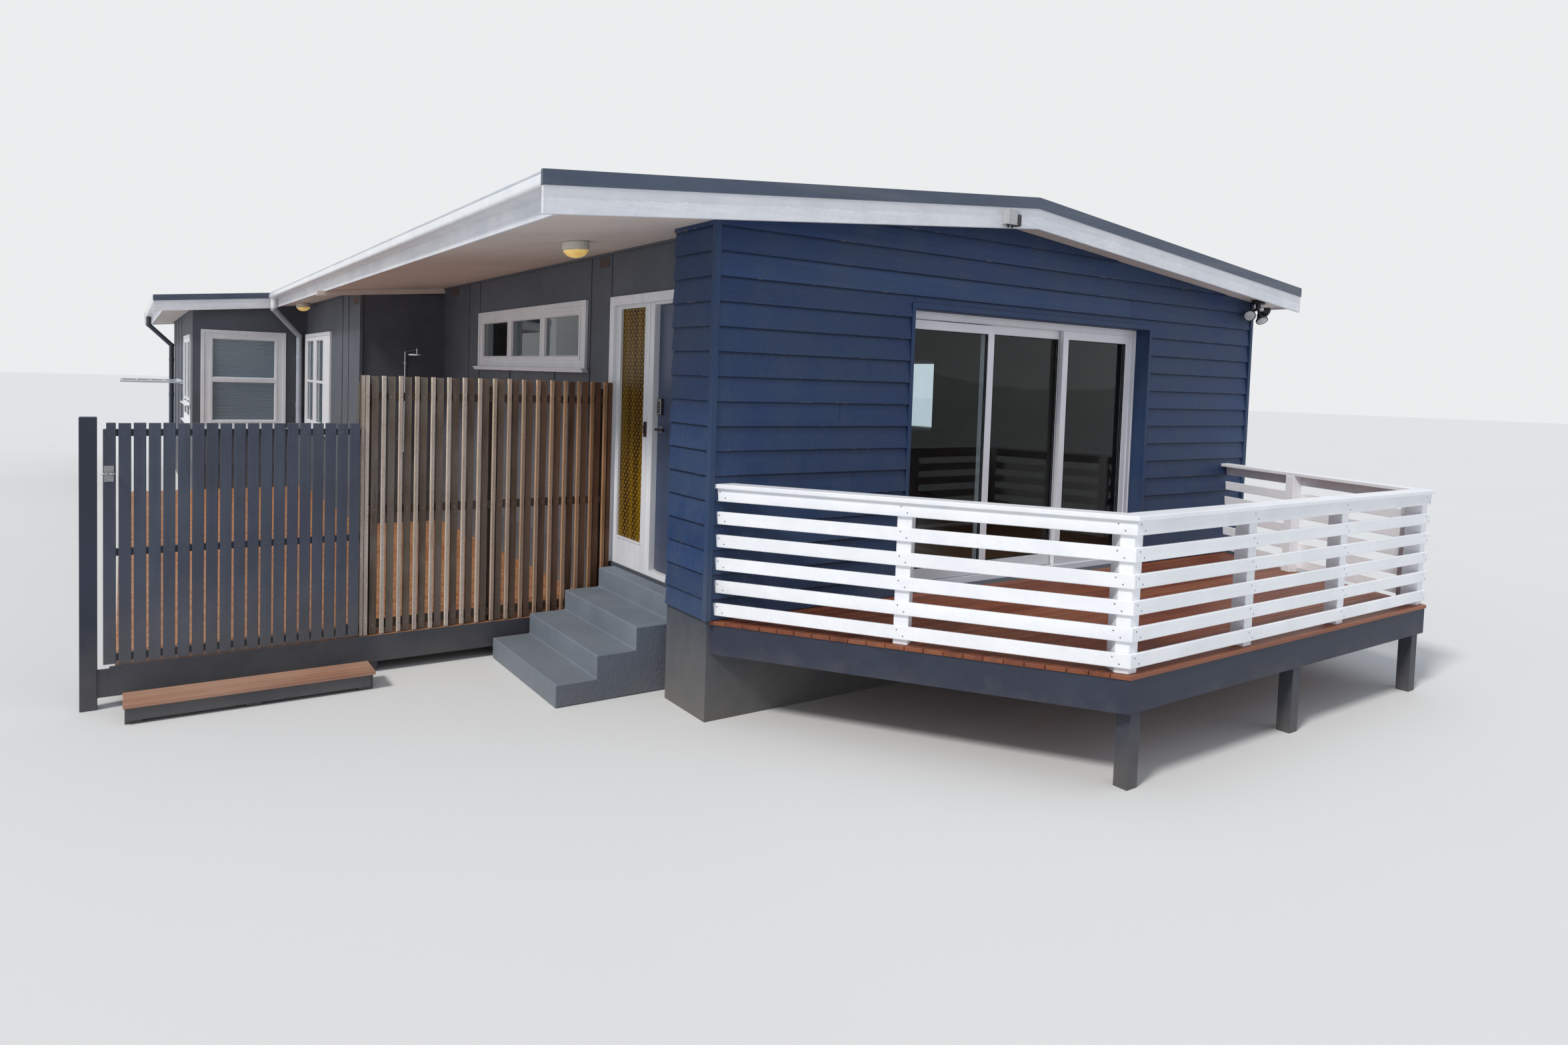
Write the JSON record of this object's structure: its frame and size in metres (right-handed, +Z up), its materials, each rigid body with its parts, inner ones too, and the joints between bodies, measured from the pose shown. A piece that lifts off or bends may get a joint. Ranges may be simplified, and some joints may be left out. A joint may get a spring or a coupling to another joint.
{
  "type": "beach house",
  "caption": "Single-storey gabled beach house with a sliding door, a front door, a railed front deck, a screened side deck with a gate, and entry steps.",
  "frame": {"origin": "front-left corner of the front gable wall, at ground level", "axes": "+X to the right along the front gable wall, +Y towards the back of the house, +Z up"},
  "size_m": [9.804, 20.549, 3.638],
  "materials": {
    "wall_boards": "painted weatherboard, satin",
    "wall_sheet": "painted fibre cement sheet, matt",
    "base_paint": "painted base wall, matt",
    "floor_boards": "oiled timber floor",
    "lining": "painted eave lining, matt",
    "roof_core": "rafters, battens and insulation as one slab",
    "roof_metal": "prefinished ribbed steel sheet",
    "trim_white": "white gloss paint on timber",
    "gutter_white": "white prefinished steel",
    "frame_white": "white powder coated aluminium",
    "window_white": "white painted window timber",
    "clear_glass": "clear glass",
    "amber_glass": "amber textured glass",
    "door_paint": "grey painted door leaf",
    "metal_fittings": "satin metal hardware",
    "concrete_paint": "painted concrete, matt",
    "deck_boards": "oiled hardwood decking",
    "deck_dark": "dark painted timber",
    "side_boards": "oiled hardwood decking",
    "batten_timber": "weathered hardwood",
    "picket_paint": "charcoal painted timber",
    "light_lens": "warm white diffuser",
    "black_metal": "black fittings",
    "box_grey": "grey enclosure"
  },
  "bodies": {
    "house": {"foundation": "base_paint", "floor": "floor_boards", "front_wall_left": "wall_boards", "front_wall_right": "wall_boards", "front_wall_head": "wall_boards", "return_wall": "wall_boards", "entry_wall_head": "wall_sheet", "entry_wall": "wall_sheet", "shower_wall": "wall_sheet", "side_wall": "wall_sheet", "wing_front_wall": "wall_sheet", "wing_side_wall": "wall_sheet", "right_wall": "wall_sheet", "back_wall": "wall_sheet", "soffit_lining": "lining", "roof_deck": "roof_core", "roof_left": "roof_metal", "roof_right": "roof_metal", "roof_caps": "roof_metal", "barge_boards": "trim_white", "fascia_boards": "trim_white", "gutters": "gutter_white", "downpipes": "gutter_white", "slider_frame": "frame_white", "fixed_glass": "clear_glass", "entry_frame": "trim_white", "sidelight_glass": "amber_glass", "high_window": "window_white", "wing_window": "window_white", "side_windows": "window_white", "far_windows": "window_white", "window_glass": "clear_glass", "entry_steps": "concrete_paint", "deck_boards": "deck_boards", "deck_frame": "deck_dark", "rail_posts": "trim_white", "left_railing": "trim_white", "front_railing": "trim_white", "right_railing": "trim_white", "rail_cap": "trim_white", "side_deck": "side_boards", "side_deck_frame": "deck_dark", "batten_screen": "batten_timber", "timber_step": "side_boards", "eave_lights": "light_lens", "flood_light": "black_metal", "fuse_box": "box_grey", "wall_vents": "wall_sheet", "shower": "metal_fittings", "clothes_line": "metal_fittings"},
    "sliding_panel": {"slider_leaf": "frame_white", "slider_glass": "clear_glass", "slider_handle": "metal_fittings"},
    "front_door": {"door_leaf": "door_paint", "door_handle": "metal_fittings"},
    "side_gate": {"picket_gate": "picket_paint"}
  },
  "joints": [
    {"name": "sliding_door_slide", "type": "slide", "parent": "house", "child": "sliding_panel", "axis": [1, 0, 0], "range_m": [0, 0.8]},
    {"name": "front_door_hinge", "type": "hinge", "parent": "house", "child": "front_door", "pos_m": [0.378, 0.577, 0.7], "axis": [0, 0, -1], "range_deg": [0, 90]},
    {"name": "side_gate_hinge", "type": "hinge", "parent": "house", "child": "side_gate", "pos_m": [-1.669, 2.097, 0.278], "axis": [0, 0, -1], "range_deg": [0, 90]}
  ]
}
